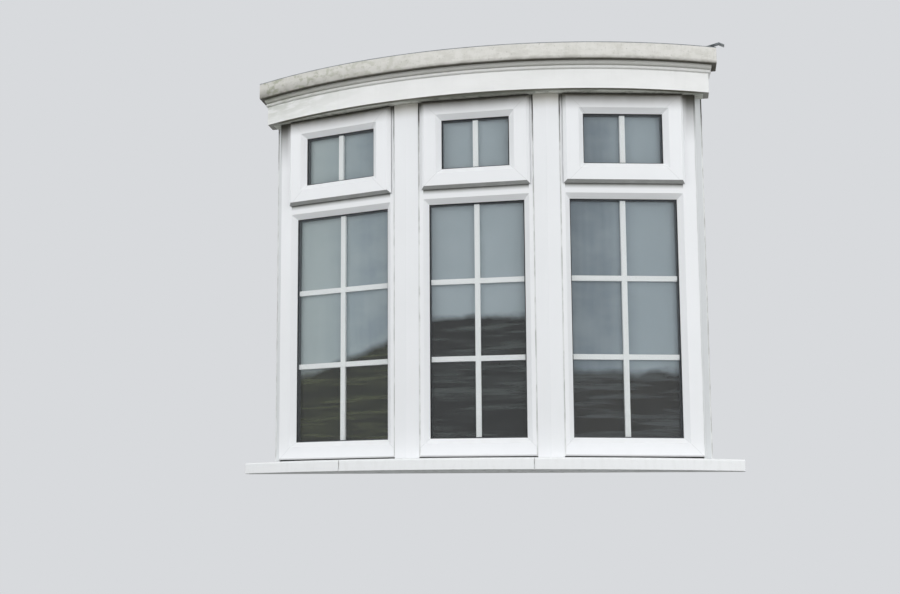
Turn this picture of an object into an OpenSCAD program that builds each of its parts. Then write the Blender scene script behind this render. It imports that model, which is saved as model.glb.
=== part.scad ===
// Three-light bow window in white PVC-U under a curved timber canopy.
// The middle light lies parallel to the wall and the side lights turn back towards it.
// X runs to the right along the wall, Y into the wall and Z up. The wall's outer face is
// the plane Y = 0, and the origin is the middle of the sill's flat back face on that plane.

/* [Bow plan] */
// Angle between the middle light and each side light, in degrees
light_angle = 15; // [8:1:20]
// Width of the middle light's outer frame
middle_w = 452; // [420:1:560]
// Width of each side light's outer frame
side_w = 490; // [440:1:560]
// Distance from the plan corner of two lights to the edge of each frame
post_half = 17; // [14:1:24]
// How far the outer front corner of a side frame stands out of the wall
end_proud = 52; // [30:1:70]

/* [Outer frame] */
// Height of the outer frames
frame_h = 1278; // [1150:1:1400]
// Depth of the outer frames
frame_d = 70; // [66:1:90]
// Face width of the outer frame, from its edge to the sight line
frame_face = 62; // [56:1:74]
// Width of the sloped shoulder that runs down to the glass
shoulder_w = 18; // [14:1:20]
// Depth of that sloped shoulder
shoulder_d = 16; // [12:1:17]
// Thickness of the lip at the foot of the shoulder, in front of the glass
lip_t = 2; // [1.5:0.5:3]
// Height of the sight line of the fixed glass at the transom
transom_z = 875; // [780:1:900]
// Face height of the transom
transom_h = 73; // [64:1:84]

/* [Glazing] */
// Cover of the frame over the edge of the glass, as the depth of the rebate
rebate = 18; // [16:1:20]
// Thickness of one pane
pane_t = 4; // [3:0.5:6]
// Thickness of the sealed unit over both panes
unit_t = 24; // [20:1:28]
// Gap between the edge of the unit and the floor of its rebate
unit_clear = 5; // [3:0.5:6]
// Thickness of the gasket on each side of the unit
glazing_gasket_t = 2; // [1.5:0.5:3]
// Width of that gasket
glazing_gasket_w = 9.5; // [7:0.5:12]
// How far that gasket shows past the edge of the frame or bead
gasket_show = 1.5; // [0.5:0.5:2.5]
// Width of the bevel on the glazing beads
bead_bevel = 8; // [5:0.5:10]
// Depth of that bevel
bead_bevel_d = 11; // [8:0.5:14]
// How much the face of a bead leans back before its bevel
bead_lean = 2; // [1:0.5:3]
// Width of the spacer strip at the edge of the unit
spacer_w = 15; // [13:0.5:17]
// Distance from the edge of the unit to its spacer
spacer_inset = 2; // [1:0.5:3]
// Width of the bars inside the unit
bar_w = 18; // [14:1:24]
// Depth of the bars inside the unit
bar_d = 10; // [6:1:11]
// Rows of panes that the bars make in the fixed light
bar_rows = 3; // [2:1:4]

/* [Fanlight sash] */
// How far the sash's outer flange laps over the frame
sash_lap = 23; // [20:1:26]
// Face width of the sash, from its edge to the sight line
sash_face = 70; // [64:1:78]
// Depth of the sash
sash_d = 70; // [60:1:76]
// How far the sash's face stands in front of the frame's face
sash_proud = 18; // [14:1:22]
// Gap between the sash flange and the frame's face, which the weather gasket fills
sash_gap = 3; // [2:0.5:4]
// Running gap between the sash and the inside of its opening
sash_clear = 4; // [3:0.5:6]
// Width of the bevel along the sash's outer edge
sash_bevel = 10; // [6:1:14]
// Depth of that bevel
sash_bevel_d = 11; // [8:1:12]
// Width of the weather gasket
weather_gasket_w = 3.5; // [2:0.5:5]
// Distance from the sash's outer edge to the weather gasket
weather_inset = 1.5; // [0.5:0.5:3]

/* [Handle] */
// Length of the fanlight handle's lever
lever_l = 112; // [90:1:130]
// Height of the lever on the sash rail
lever_w = 17; // [14:1:22]
// Thickness of the lever
lever_t = 9; // [7:1:12]
// Length of the handle's base plate
base_l = 66; // [50:1:80]
// Width of the handle's base plate
base_w = 26; // [22:1:32]
// Thickness of the handle's base plate
base_t = 9; // [6:1:12]
// Diameter of the neck that carries the lever
neck_dia = 15; // [12:1:16]
// Finger gap between the base plate and the lever
finger_gap = 22; // [16:1:30]

/* [Posts and trims] */
// Half width of the flat cover over each bay post, along one frame
cover_half = 44; // [34:1:48]
// Thickness of the outer post cover
cover_t = 3; // [2:0.5:5]
// Half width of the inner post cover, along one frame
inner_cover_half = 30; // [24:1:40]
// How far the post's tongue reaches behind the frames into its inner cover
tongue = 1; // [0.5:0.5:2]
// Width of the trim between each side frame and the wall
jamb_trim_w = 24; // [16:1:32]
// Thickness of that trim
jamb_trim_t = 5; // [3:0.5:8]
// How far the trim's front stands back from the side frame's corner
jamb_trim_back = 4; // [2:1:20]

/* [Sill] */
// Thickness of the sill
sill_t = 42; // [34:1:60]
// How far the sill's front edge stands in front of the middle light
sill_proud = 89; // [80:1:110]
// How far the sill runs past the outer corner of each side frame
sill_past = 127; // [60:1:150]
// Fall of the sill's top towards its front edge
sill_fall = 4; // [2:0.5:8]
// Width of the sloping front strip of the sill's top
sill_slope_w = 46; // [34:1:50]
// Radius of the sill's nose
sill_nose = 5; // [3:1:8]
// Height of the bed that lifts the frames off the sill
bed_h = 6; // [4:0.5:10]
// How far the bed's front stands back from the face of the frames
bed_back = 12; // [8:1:20]
// Distance of the sill's left butt joint beyond the bow's left corner
sill_joint_left = 232; // [60:1:320]
// Distance of the sill's right butt joint short of the bow's right corner
sill_joint_right = 50; // [10:1:140]
// Width of the butt joints
sill_joint_w = 0.8; // [0.4:0.1:1.5]
// Width of the arris that is taken off each side of a butt joint
sill_arris = 2.5; // [1:0.5:4]
// Width of the drip groove under the sill
drip_w = 7; // [5:1:10]
// Depth of the drip groove
drip_d = 4; // [3:1:6]
// Distance of the drip groove from the sill's front edge
drip_back = 22; // [16:1:40]

/* [Boards inside] */
// Distance of the boards' back edges behind the wall's outer face
board_back = 70; // [50:1:160]
// Thickness of the window board
window_board_t = 25; // [18:1:32]
// Thickness of the head board on top of the frames
head_board_t = 18; // [15:1:25]

/* [Canopy] */
// How far the fascia's face stands in front of the middle light
fascia_proud = 68; // [60:1:76]
// How far the fascia runs past the outer corner of each side frame
canopy_past = 52; // [40:1:90]
// How far the fascia's face still stands out of the wall at its ends, where it returns
fascia_end_out = 64; // [40:1:80]
// Gap between the top of the fanlight sashes and the canopy's underside
soffit_gap = 1; // [1:0.5:20]
// Height of the fascia
fascia_h = 95; // [80:1:120]
// Thickness of the fascia
fascia_t = 18; // [15:1:25]
// Projection of the moulding along the top of the fascia
moulding_out = 11; // [9:1:14]
// Height of the flat face at the top of the moulding
moulding_flat = 5; // [3:1:8]
// Radius of the small half round at the foot of the moulding
astragal_r = 6.5; // [4:0.5:8]
// Height of the roof edge board above the fascia
edge_h = 55; // [45:1:75]
// Projection of the roof edge board from the fascia
edge_out = 28; // [22:1:40]
// Width of the arris taken off the roof edge board's lower edge
edge_arris = 2; // [1:0.5:4]
// Thickness of the soffit board
soffit_t = 12; // [9:1:18]
// Rise of the roof from the back of its edge board to the wall at the middle
roof_rise = 35; // [20:1:60]
// Thickness of the roof boards with the lead on them
roof_t = 12; // [8:1:18]
// Number of lengths that the roof is laid in
roof_lengths = 4; // [3:1:6]
// Gap between two lengths of the roof or of the flashing's apron
length_gap = 1; // [0.5:0.5:3]
// Thickness of the sheet lead
lead_t = 2.5; // [1.5:0.5:4]
// Depth of the wall plate that carries the canopy
plate_d = 45; // [35:1:60]
// Thickness of each rib of the canopy
rib_t = 30; // [20:1:40]
// Distance between the ribs
rib_pitch = 255; // [200:5:300]

/* [Lead flashing] */
// Height of the flashing's upstand on the wall at the middle
upstand_h = 30; // [25:1:60]
// Height of that upstand where it would meet the outermost end of the roof
upstand_end_h = 4; // [2:1:12]
// Width of the flashing's apron on the roof
apron_w = 80; // [50:1:100]
// Number of lengths that the apron is laid in
apron_lengths = 3; // [2:1:4]
// How far the flashing stops short of the roof edge's left end
flashing_short = 4; // [2:1:20]
// Distance from the roof edge's right end to where the apron has come loose and lifts
lift_back = 48; // [30:1:60]
// How far the loose end reaches past the roof edge
loose_past = 27; // [10:1:40]
// Height of the loose end at its crest
lift_h = 14; // [6:1:24]
// Width of the loose end
loose_w = 24; // [16:1:28]

/* [Fits] */
// Clearance where one piece seats against another
fit = 0.3; // [0.2:0.05:0.4]
// Width by which sharp corners of trims are eased
eased = 1; // [0.5:0.5:2]

/* [Hidden] */
$fn = 96;

// Longer than anything in the part
far = 3000;
// How far a shape runs past the plane that cuts it
past = 1;

// Levels inside one light, from the bottom of its frame
fixed_top = transom_z;
fan_bottom = transom_z + transom_h;
fan_top = frame_h - frame_face;
sash_z0 = fan_bottom - sash_lap;
sash_z1 = fan_top + sash_lap;
body_inset = sash_lap + sash_clear;

// Heights of the main levels
sill_top = sill_t / 2;
frame_z = sill_top + bed_h;
head_z = frame_z + frame_h;
soffit_level = frame_z + sash_z1 + soffit_gap;
fascia_top = soffit_level + fascia_h;
edge_top = fascia_top + edge_h;

// Plan of the facade: the lights' corners and where each side light ends
bow_out = end_proud + (post_half + side_w) * sin(light_angle);
corner_x = middle_w / 2 + post_half;
side_centre = post_half + side_w / 2;
side_end = post_half + side_w;

// Arc of the fascia, through its ends and its middle, and the arcs that share its centre
fascia_half = side_point(side_end, 0)[0] + canopy_past;
fascia_out = bow_out + fascia_proud;
fascia_swell = fascia_out - fascia_end_out;
fascia_r = (fascia_half * fascia_half + fascia_swell * fascia_swell) / (2 * fascia_swell);
bow_centre = fascia_r - fascia_out;
sill_r = bow_centre + bow_out + sill_proud;
edge_r = fascia_r + edge_out;
edge_half = fascia_half + edge_out;
sill_half = side_point(side_end, 0)[0] + sill_past;
wall_r = bow_centre - past;

// Mitre in plan between the bowed front of the canopy and its straight returns to the wall
mitre_angle = (90 - asin(fascia_half / fascia_r)) / 2;
mitre_in = [fascia_half - (fascia_end_out + past) / tan(mitre_angle), past];
mitre_out = [fascia_half + far, -fascia_end_out - far * tan(mitre_angle)];
canopy_inner = fascia_half - fascia_t - fit;

// Roof: it rises from the back of its edge board to the wall
eaves_r = fascia_r - fascia_t;
roof_slope = roof_rise / (eaves_r - bow_centre);

// Depths of the glazing behind the face that holds it
lip_d = shoulder_d + lip_t;
sash_lip = lip_d - sash_proud;
sash_inner = sash_d - sash_proud;
fixed_u = frame_face - rebate + unit_clear;
fan_u = sash_face - rebate + unit_clear;
fixed_glass_y = lip_d + glazing_gasket_t;
fan_glass_y = sash_lip + glazing_gasket_t;

// Colours of the pieces
white_pvc = "#F0F1F3";
timber_white = "#E6E6E2";
edge_grey = "#CFD0C8";
soffit_grey = "#6E7062";
rubber_grey = "#3C3F42";
glass_blue = "#8C9CA8";
lead_grey = "#9A9D9F";
board_timber = "#C9A77A";

// Point on the facade line of the right half, s along the side light and d in front of it
function side_point(s, d) =
    [corner_x + s * cos(light_angle) + d * sin(light_angle),
     -bow_out + s * sin(light_angle) - d * cos(light_angle)];
// Plan corner of the facade, moved d in front of it
function corner_point(d) = [corner_x + d * tan(light_angle / 2), -bow_out - d];
// Right half of a line that runs d in front of all three lights
function facade_half(d) = [corner_point(d), side_point(side_end, d)];
// Points along an arc from one angle to another, for building a profile
function arc_points(centre, r, from, to, steps = 6) =
    [for (i = [0:steps]) let (a = from + (to - from) * i / steps)
        centre + r * [cos(a), sin(a)]];
function reversed(points) = [for (i = [len(points) - 1:-1:0]) points[i]];
function mirrored(points) = [for (p = reversed(points)) [-p[0], p[1]]];
// Whole line that runs d in front of all three lights, from left to right
function facade_line(d) = concat(mirrored(facade_half(d)), facade_half(d));

// Puts what is drawn for one light in its place: side is -1, 0 or 1 for left, middle, right
module at_light(side) {
    if (side == 0) {
        translate([0, -bow_out, frame_z]) children();
    } else {
        p = side_point(side_centre, 0);
        translate([side * p[0], p[1], frame_z]) rotate([0, 0, side * light_angle]) children();
    }
}

// Rail of a mitred ring: the profile is [inwards from the edge, depth] points
module bottom_rail(w, reach, profile) {
    intersection() {
        rotate([90, 0, 90])
            linear_extrude(w, center = true)
                polygon([for (p = profile) [p[1], p[0]]]);
        rotate([90, 0, 0])
            linear_extrude(2 * far, center = true)
                polygon([[-w / 2, 0], [w / 2, 0], [w / 2 - reach, reach], [reach - w / 2, reach]]);
    }
}

module left_stile(w, h, reach, profile) {
    intersection() {
        translate([-w / 2, 0, 0]) linear_extrude(h) polygon(profile);
        rotate([90, 0, 0])
            linear_extrude(2 * far, center = true)
                polygon([[-w / 2, 0], [reach - w / 2, reach], [reach - w / 2, h - reach], [-w / 2, h]]);
    }
}

// Four rails of one profile, mitred and welded at the corners of a w by h rectangle
module mitred_ring(w, h, profile) {
    reach = max([for (p = profile) p[0]]);
    bottom_rail(w, reach, profile);
    translate([0, 0, h]) mirror([0, 0, 1]) bottom_rail(w, reach, profile);
    left_stile(w, h, reach, profile);
    mirror([1, 0, 0]) left_stile(w, h, reach, profile);
}

// Ring of a plain rectangular section, from u0 to u1 inside the edge and y0 to y1 deep
module plain_ring(w, h, u0, u1, y0, y1) {
    difference() {
        translate([u0 - w / 2, y0, u0]) cube([w - 2 * u0, y1 - y0, h - 2 * u0]);
        translate([u1 - w / 2, y0 - past, u1])
            cube([w - 2 * u1, y1 - y0 + 2 * past, h - 2 * u1]);
    }
}

// Outer frame of one light, with a sloped shoulder and a rebate for the fixed glass
module outer_frame(w) {
    flat_w = frame_face - shoulder_w;
    difference() {
        mitred_ring(w, frame_h, [[0, 0], [flat_w, 0], [frame_face, shoulder_d],
                                 [frame_face, frame_d], [0, frame_d]]);
        translate([frame_face - rebate - w / 2, lip_d, frame_face - rebate])
            cube([w - 2 * (frame_face - rebate), frame_d, fixed_top - frame_face + 2 * rebate]);
    }
}

module light_frame(w) {
    color(white_pvc) outer_frame(w);
}

// Transom between the stiles, shouldered on both edges and scribed to the stiles
module transom(w) {
    flat_w = frame_face - shoulder_w;
    profile = [[lip_d, 0], [shoulder_d, 0], [0, shoulder_w], [0, transom_h - shoulder_w],
               [shoulder_d, transom_h], [frame_d, transom_h], [frame_d, rebate], [lip_d, rebate]];
    color(white_pvc)
        difference() {
            translate([0, 0, transom_z])
                rotate([90, 0, 90])
                    linear_extrude(w - 2 * flat_w, center = true)
                        polygon(profile);
            outer_frame(w);
        }
}

// Size of the fanlight sash in a light of width w
function sash_w(w) = w - 2 * (frame_face - sash_lap);
sash_h = sash_z1 - sash_z0;

// Top-hung sash: flange over the frame, sloped shoulder to the glass, body in the opening
module fan_sash(w) {
    face = -sash_proud;
    bed = sash_face - rebate;
    color(white_pvc)
        translate([0, 0, sash_z0])
            mitred_ring(sash_w(w), sash_h,
                        [[0, -sash_gap], [0, face + sash_bevel_d], [sash_bevel, face],
                         [sash_face - shoulder_w, face], [sash_face, face + shoulder_d],
                         [sash_face, sash_lip], [bed, sash_lip], [bed, sash_inner],
                         [body_inset, sash_inner], [body_inset, -sash_gap]]);
}

// Seal round one face of a unit whose rebate is covered up to the sight line
module glazing_gasket(w, h, sight, y) {
    inner = sight + gasket_show;
    plain_ring(w, h, inner - glazing_gasket_w, inner, y, y + glazing_gasket_t);
}

// All rubber of one light: the sash's weather seal and the seals on both faces of the glass
module gaskets(w) {
    color(rubber_grey) {
        translate([0, 0, sash_z0])
            plain_ring(sash_w(w), sash_h, weather_inset, weather_inset + weather_gasket_w,
                       -sash_gap, 0);
        for (y = [0, glazing_gasket_t + unit_t]) {
            glazing_gasket(w, fixed_top + frame_face, frame_face, lip_d + y);
            translate([0, 0, sash_z0]) glazing_gasket(sash_w(w), sash_h, sash_face, sash_lip + y);
        }
    }
}

// Two panes of a sealed unit whose edges lie u inside a w by h rectangle
module panes(w, h, u, y) {
    for (y0 = [y, y + unit_t - pane_t])
        translate([u - w / 2, y0, u]) cube([w - 2 * u, pane_t, h - 2 * u]);
}

module fixed_glass(w) {
    color(glass_blue, 0.5) panes(w, fixed_top + frame_face, fixed_u, fixed_glass_y);
}

module fan_glass(w) {
    color(glass_blue, 0.5)
        translate([0, 0, sash_z0]) panes(sash_w(w), sash_h, fan_u, fan_glass_y);
}

// Spacer frame in the cavity of one unit
module spacer_frame(w, h, u, y) {
    outer = u + spacer_inset;
    plain_ring(w, h, outer, outer + spacer_w, y + pane_t, y + unit_t - pane_t);
}

module spacers(w) {
    color(rubber_grey) {
        spacer_frame(w, fixed_top + frame_face, fixed_u, fixed_glass_y);
        translate([0, 0, sash_z0]) spacer_frame(sash_w(w), sash_h, fan_u, fan_glass_y);
    }
}

// Cross of bars between the spacers of one unit, with the given rows of panes
module bar_grid(w, h, glass_u, y, rows) {
    u = glass_u + spacer_inset + spacer_w;
    y0 = y + (unit_t - bar_d) / 2;
    pitch = (h - 2 * u) / rows;
    translate([-bar_w / 2, y0, u]) cube([bar_w, bar_d, h - 2 * u]);
    if (rows > 1)
        for (i = [1:rows - 1])
            translate([u - w / 2, y0, u + i * pitch - bar_w / 2]) cube([w - 2 * u, bar_d, bar_w]);
}

module glazing_bars(w) {
    color(white_pvc) {
        bar_grid(w, fixed_top + frame_face, fixed_u, fixed_glass_y, bar_rows);
        translate([0, 0, sash_z0]) bar_grid(sash_w(w), sash_h, fan_u, fan_glass_y, 1);
    }
}

// Bead round a unit from inside: it fills a rebate whose floor lies bed inside the edge
module bead_ring(w, h, bed, y0, y1) {
    translate([0, 0, bed])
        mitred_ring(w - 2 * bed, h - 2 * bed,
                    [[0, y0], [rebate, y0], [rebate - bead_lean, y1 - bead_bevel_d],
                     [rebate - bead_lean - bead_bevel, y1], [0, y1]]);
}

// Glazing beads that hold the two units from inside
module beads(w) {
    behind_glass = unit_t + glazing_gasket_t;
    color(white_pvc) {
        bead_ring(w, fixed_top + frame_face, frame_face - rebate,
                  fixed_glass_y + behind_glass, frame_d);
        translate([0, 0, sash_z0])
            bead_ring(sash_w(w), sash_h, sash_face - rebate,
                      fan_glass_y + behind_glass, sash_inner);
    }
}

// Bar with round ends, lying along X in the XZ plane
module round_bar(l, w, t) {
    translate([0, t, 0]) rotate([90, 0, 0]) linear_extrude(t) {
        square([l - w, w], center = true);
        for (s = [-1, 1]) translate([s * (l - w) / 2, 0]) circle(d = w);
    }
}

// Lever handle on the inner face of the sash's bottom rail
module fan_handle() {
    rail_mid = sash_z0 + (body_inset + sash_face - rebate) / 2;
    color(white_pvc)
        translate([0, sash_inner, rail_mid]) {
            round_bar(base_l, base_w, base_t);
            translate([0, base_t, 0]) rotate([-90, 0, 0]) cylinder(d = neck_dia, h = finger_gap);
            translate([(lever_l - lever_w) / 2, base_t + finger_gap, 0])
                round_bar(lever_l, lever_w, lever_t);
        }
}

// Plan of a bent plate from d0 to d1 in front of the facade, half wide along each light
function bent_plate(half, d0, d1, ease) =
    [[corner_x - half, -bow_out - d0], [corner_x - half, -bow_out - d1 + ease],
     [corner_x - half + abs(ease), -bow_out - d1], corner_point(d1),
     side_point(half - abs(ease), d1), side_point(half, d1 - ease),
     side_point(half, d0), corner_point(d0)];

// Plan of the coupling post between two frames, from the facade to the given depth
function post_plan(depth) =
    let (gap = post_half - fit)
    [[corner_x - gap, -bow_out], corner_point(0), side_point(gap, 0), side_point(gap, -depth),
     corner_point(-depth), [corner_x - gap, depth - bow_out]];

// Post that couples two frames, with a cover over the joint above the window board
module bay_post(side) {
    cover_z = sill_top + window_board_t + fit;
    color(white_pvc)
        mirror([side < 0 ? 1 : 0, 0, 0]) {
            translate([0, 0, frame_z]) linear_extrude(frame_h) polygon(post_plan(frame_d));
            translate([0, 0, cover_z]) linear_extrude(head_z - cover_z) {
                polygon(post_plan(frame_d + tongue));
                polygon(bent_plate(inner_cover_half, -frame_d, -frame_d - cover_t, -eased));
            }
        }
}

// Flat cover over the outside of a bay post, from the sill to the soffit
module post_cover(side) {
    color(white_pvc)
        mirror([side < 0 ? 1 : 0, 0, 0])
            translate([0, 0, sill_top]) linear_extrude(soffit_level - sill_top - fit)
                polygon(bent_plate(cover_half, 0, cover_t, eased));
}

// Angle trim: one leg runs along the side frame's end and the other lies on the wall's face
module jamb_trim(side) {
    corner = side_point(side_end, 0)[0];
    inner_x = corner + fit / cos(light_angle);
    leg_x = inner_x + jamb_trim_t;
    front = jamb_trim_back - end_proud;
    color(white_pvc)
        mirror([side < 0 ? 1 : 0, 0, 0])
            translate([0, 0, sill_top]) linear_extrude(soffit_level - sill_top - fit)
                polygon([[inner_x - end_proud * tan(light_angle), 0],
                         [inner_x - jamb_trim_back * tan(light_angle), front],
                         [leg_x - eased, front], [leg_x, front + eased],
                         [leg_x, -jamb_trim_t], [corner + jamb_trim_w - eased, -jamb_trim_t],
                         [corner + jamb_trim_w, eased - jamb_trim_t],
                         [corner + jamb_trim_w, 0]]);
}

// Ring about the bow's centre, turned from [radius, height] points and cut off at the wall
module bow_ring(profile, half) {
    intersection() {
        translate([0, bow_centre, 0])
            rotate([0, 0, 180])
                rotate_extrude(angle = 180, $fn = 720)
                    polygon(profile);
        translate([-half, -far, -far]) cube([2 * half, far, 2 * far]);
    }
}

// Run of a section along the bowed front, mitred to a straight return at each end
module mitred_run(profile) {
    mitre = [mitre_in, mitre_out];
    intersection() {
        bow_ring(profile, far);
        translate([0, 0, -far]) linear_extrude(2 * far) polygon(concat(mirrored(mitre), mitre));
    }
    for (side = [-1, 1])
        mirror([side < 0 ? 1 : 0, 0, 0])
            intersection() {
                rotate([90, 0, 0])
                    linear_extrude(far)
                        polygon([for (p = profile) [p[0] - fascia_r + fascia_half, p[1]]]);
                translate([fit, 0, -far])
                    linear_extrude(2 * far)
                        polygon([mitre_in, mitre_out, [mitre_out[0], past]]);
            }
}

// Whole sill: a bowed slab with a weathered front, a rounded nose, a drip and a raised bed
module whole_sill() {
    base = -sill_t / 2;
    drip_r = sill_r - drip_back;
    nose_top = sill_top - sill_fall;
    bow_ring(concat([[wall_r, base], [drip_r - drip_w, base], [drip_r - drip_w, base + drip_d],
                     [drip_r, base + drip_d], [drip_r, base], [sill_r - eased, base],
                     [sill_r, base + eased]],
                    arc_points([sill_r - sill_nose, nose_top - sill_nose], sill_nose, 0, 90),
                    [[sill_r - sill_slope_w, sill_top], [wall_r, sill_top]]),
             sill_half);
    intersection() {
        translate([0, 0, sill_top])
            linear_extrude(bed_h)
                polygon(concat(facade_line(-bed_back), reversed(facade_line(-frame_d))));
        translate([-far, -far, 0]) cube([2 * far, far, far]);
    }
}

// Length of sill from x0 to x1, with an arris taken off at each butt joint on its face
module sill_piece(x0, x1, joint_left, joint_right) {
    color(timber_white)
        difference() {
            intersection() {
                whole_sill();
                translate([x0, -far, -far]) cube([x1 - x0, 2 * far, 2 * far]);
            }
            if (joint_left) joint_arris(x0);
            if (joint_right) joint_arris(x1);
        }
}

module joint_arris(x) {
    front_y = bow_centre - sqrt(sill_r * sill_r - x * x);
    translate([x, front_y, -far])
        linear_extrude(2 * far)
            rotate(45) square(sill_arris * sqrt(2), center = true);
}

// Plan polygon behind all three lights, from d in front of the facade back to the boards' edge
function board_plan(d) =
    let (half = concat(facade_half(d), [[side_point(side_end, d)[0], board_back]]))
    concat(mirrored(half), half);

module window_board() {
    color(white_pvc)
        translate([0, 0, sill_top]) linear_extrude(window_board_t)
            polygon(board_plan(-frame_d - fit));
}

module head_board() {
    color(board_timber)
        translate([0, 0, head_z]) linear_extrude(head_board_t)
            polygon(board_plan(0));
}

// Underside of the canopy, scribed round the frames
module canopy_soffit() {
    front_r = eaves_r - fit;
    color(soffit_grey)
        difference() {
            bow_ring([[wall_r, soffit_level], [front_r, soffit_level],
                      [front_r, soffit_level + soffit_t], [wall_r, soffit_level + soffit_t]],
                     canopy_inner);
            translate([0, 0, soffit_level - past]) linear_extrude(soffit_t + 2 * past)
                polygon(board_plan(fit));
        }
}

module canopy_fascia() {
    color(timber_white)
        mitred_run([[eaves_r, soffit_level], [fascia_r, soffit_level],
                    [fascia_r, fascia_top], [eaves_r, fascia_top]]);
}

// Moulding under the roof edge: a quarter round over a small half round
module canopy_bead() {
    nose_r = moulding_out - eased;
    nose = [fascia_r + eased, fascia_top - moulding_flat];
    astragal = [fascia_r, nose[1] - nose_r - astragal_r];
    neck_angle = 80;
    color(timber_white)
        mitred_run(concat([[fascia_r, fascia_top]],
                          arc_points(astragal, astragal_r, -90, neck_angle),
                          arc_points(nose, nose_r, -90, 0),
                          [[fascia_r + moulding_out, fascia_top]]));
}

// Roof edge board: it lies on the fascia and oversails the moulding
module canopy_edge() {
    color(edge_grey)
        mitred_run([[eaves_r, fascia_top], [edge_r - edge_arris, fascia_top],
                    [edge_r, fascia_top + edge_arris], [edge_r, edge_top], [eaves_r, edge_top]]);
}

// Height of the roof's top at radius r
function roof_top(r) = edge_top + lead_t + max(0, eaves_r - r) * roof_slope;

// Wall plate and ribs that carry the roof boards
module canopy_framing() {
    low = head_z + head_board_t;
    front_r = eaves_r - fit;
    rib_count = floor((canopy_inner - rib_t / 2) / rib_pitch);
    color(board_timber)
        intersection() {
            union() {
                translate([-canopy_inner, -plate_d, low]) cube([2 * canopy_inner, plate_d, far]);
                for (i = [-rib_count:rib_count])
                    translate([i * rib_pitch - rib_t / 2, -far, low]) cube([rib_t, far, far]);
            }
            bow_ring([[wall_r, low], [front_r, low], [front_r, roof_top(front_r) - roof_t],
                      [wall_r, roof_top(wall_r) - roof_t]], far);
        }
}

// Roof in lengths: boards that fall to the back of the edge board, with lead that laps over
// its top, and a cap of lead over the returns at each end
module canopy_roof() {
    front_r = eaves_r - fit;
    pitch = 2 * canopy_inner / roof_lengths;
    lap = [[edge_r, edge_top], [edge_r, edge_top + lead_t], [eaves_r, edge_top + lead_t],
           [wall_r, roof_top(wall_r)]];
    color(lead_grey) {
        for (i = [0:roof_lengths - 1])
            let (x0 = i * pitch - canopy_inner, last = i == roof_lengths - 1)
                intersection() {
                    bow_ring(concat([[wall_r, roof_top(wall_r) - roof_t],
                                     [front_r, roof_top(front_r) - roof_t],
                                     [front_r, edge_top]], lap), canopy_inner);
                    translate([i == 0 ? -far : x0, -far, 0])
                        cube([(i == 0 ? x0 + far : 0) + (last ? far : pitch - length_gap),
                              2 * far, far]);
                }
        for (side = [-1, 1])
            mirror([side < 0 ? 1 : 0, 0, 0])
                intersection() {
                    bow_ring(concat([[wall_r, edge_top]], lap), edge_half);
                    translate([canopy_inner + length_gap, -far, 0]) cube([far, 2 * far, far]);
                }
    }
}

// Outermost radius that the flashing reaches
flashing_r = edge_r - fit;
apron_top = edge_top + fit + 2 * lead_t;
apron_x0 = flashing_short - edge_half;
apron_x1 = edge_half - lift_back;

// Upstand of the flashing, which stands on the apron and lies against the wall
module wall_flashing() {
    foot = 2 * fit + lead_t;
    color(lead_grey)
        intersection() {
            bow_ring([[wall_r, roof_top(wall_r) + foot], [eaves_r, roof_top(eaves_r) + foot],
                      [flashing_r, roof_top(flashing_r) + foot],
                      [flashing_r, roof_top(flashing_r) + foot + upstand_end_h],
                      [wall_r, roof_top(wall_r) + foot + upstand_h]], edge_half);
            translate([apron_x0, -lead_t, 0]) cube([apron_x1 - apron_x0, far, far]);
        }
}

// Section of the loose end of the flashing: it lies flat, lifts to a crest and dips again
module loose_end() {
    // Share of the free length before the crest, and of the crest's height left at the tip
    crest_share = 1 / 3;
    crest_x = edge_half + loose_past * crest_share;
    tip_h = lift_h * crest_share;
    end_x = edge_half + loose_past;
    low = apron_top - lead_t;
    translate([0, loose_w - apron_w, low])
        rotate([90, 0, 0])
            linear_extrude(loose_w)
                polygon([[apron_x1 - 2 * lead_t, 0], [apron_x1, 0], [crest_x, lift_h],
                         [end_x, tip_h], [end_x, tip_h + lead_t],
                         [crest_x, lift_h + lead_t], [apron_x1, lead_t],
                         [apron_x1 - 2 * lead_t, lead_t]]);
}

// Apron of the flashing in lengths that lie on the roof, the last with its end come loose
module flashing_apron() {
    pitch = (apron_x1 - apron_x0) / apron_lengths;
    color(lead_grey) {
        for (i = [0:apron_lengths - 1])
            intersection() {
                bow_ring([[wall_r, roof_top(wall_r) + fit], [eaves_r, roof_top(eaves_r) + fit],
                          [flashing_r, apron_top - lead_t], [flashing_r, apron_top],
                          [eaves_r, apron_top], [wall_r, roof_top(wall_r) + fit + lead_t]],
                         edge_half);
                translate([apron_x0 + i * pitch, -apron_w, 0])
                    cube([pitch - (i < apron_lengths - 1 ? length_gap : 0), far, far]);
            }
        loose_end();
    }
}

// Edges of the three lengths of sill at the butt joints
sill_x = [-corner_x - sill_joint_left, corner_x - sill_joint_right];
sill_cut = sill_joint_w / 2;

sill_piece(-far, sill_x[0] - sill_cut, false, true);  // sill_left
sill_piece(sill_x[0] + sill_cut, sill_x[1] - sill_cut, true, true);  // sill_middle
sill_piece(sill_x[1] + sill_cut, far, true, false);  // sill_right
at_light(-1) light_frame(side_w);  // left_frame
at_light(0) light_frame(middle_w);  // middle_frame
at_light(1) light_frame(side_w);  // right_frame
at_light(-1) transom(side_w);  // left_transom
at_light(0) transom(middle_w);  // middle_transom
at_light(1) transom(side_w);  // right_transom
at_light(-1) fan_sash(side_w);  // left_sash
at_light(0) fan_sash(middle_w);  // middle_sash
at_light(1) fan_sash(side_w);  // right_sash
at_light(-1) gaskets(side_w);  // left_gaskets
at_light(0) gaskets(middle_w);  // middle_gaskets
at_light(1) gaskets(side_w);  // right_gaskets
at_light(-1) fixed_glass(side_w);  // left_fixed_glass
at_light(0) fixed_glass(middle_w);  // middle_fixed_glass
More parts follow.
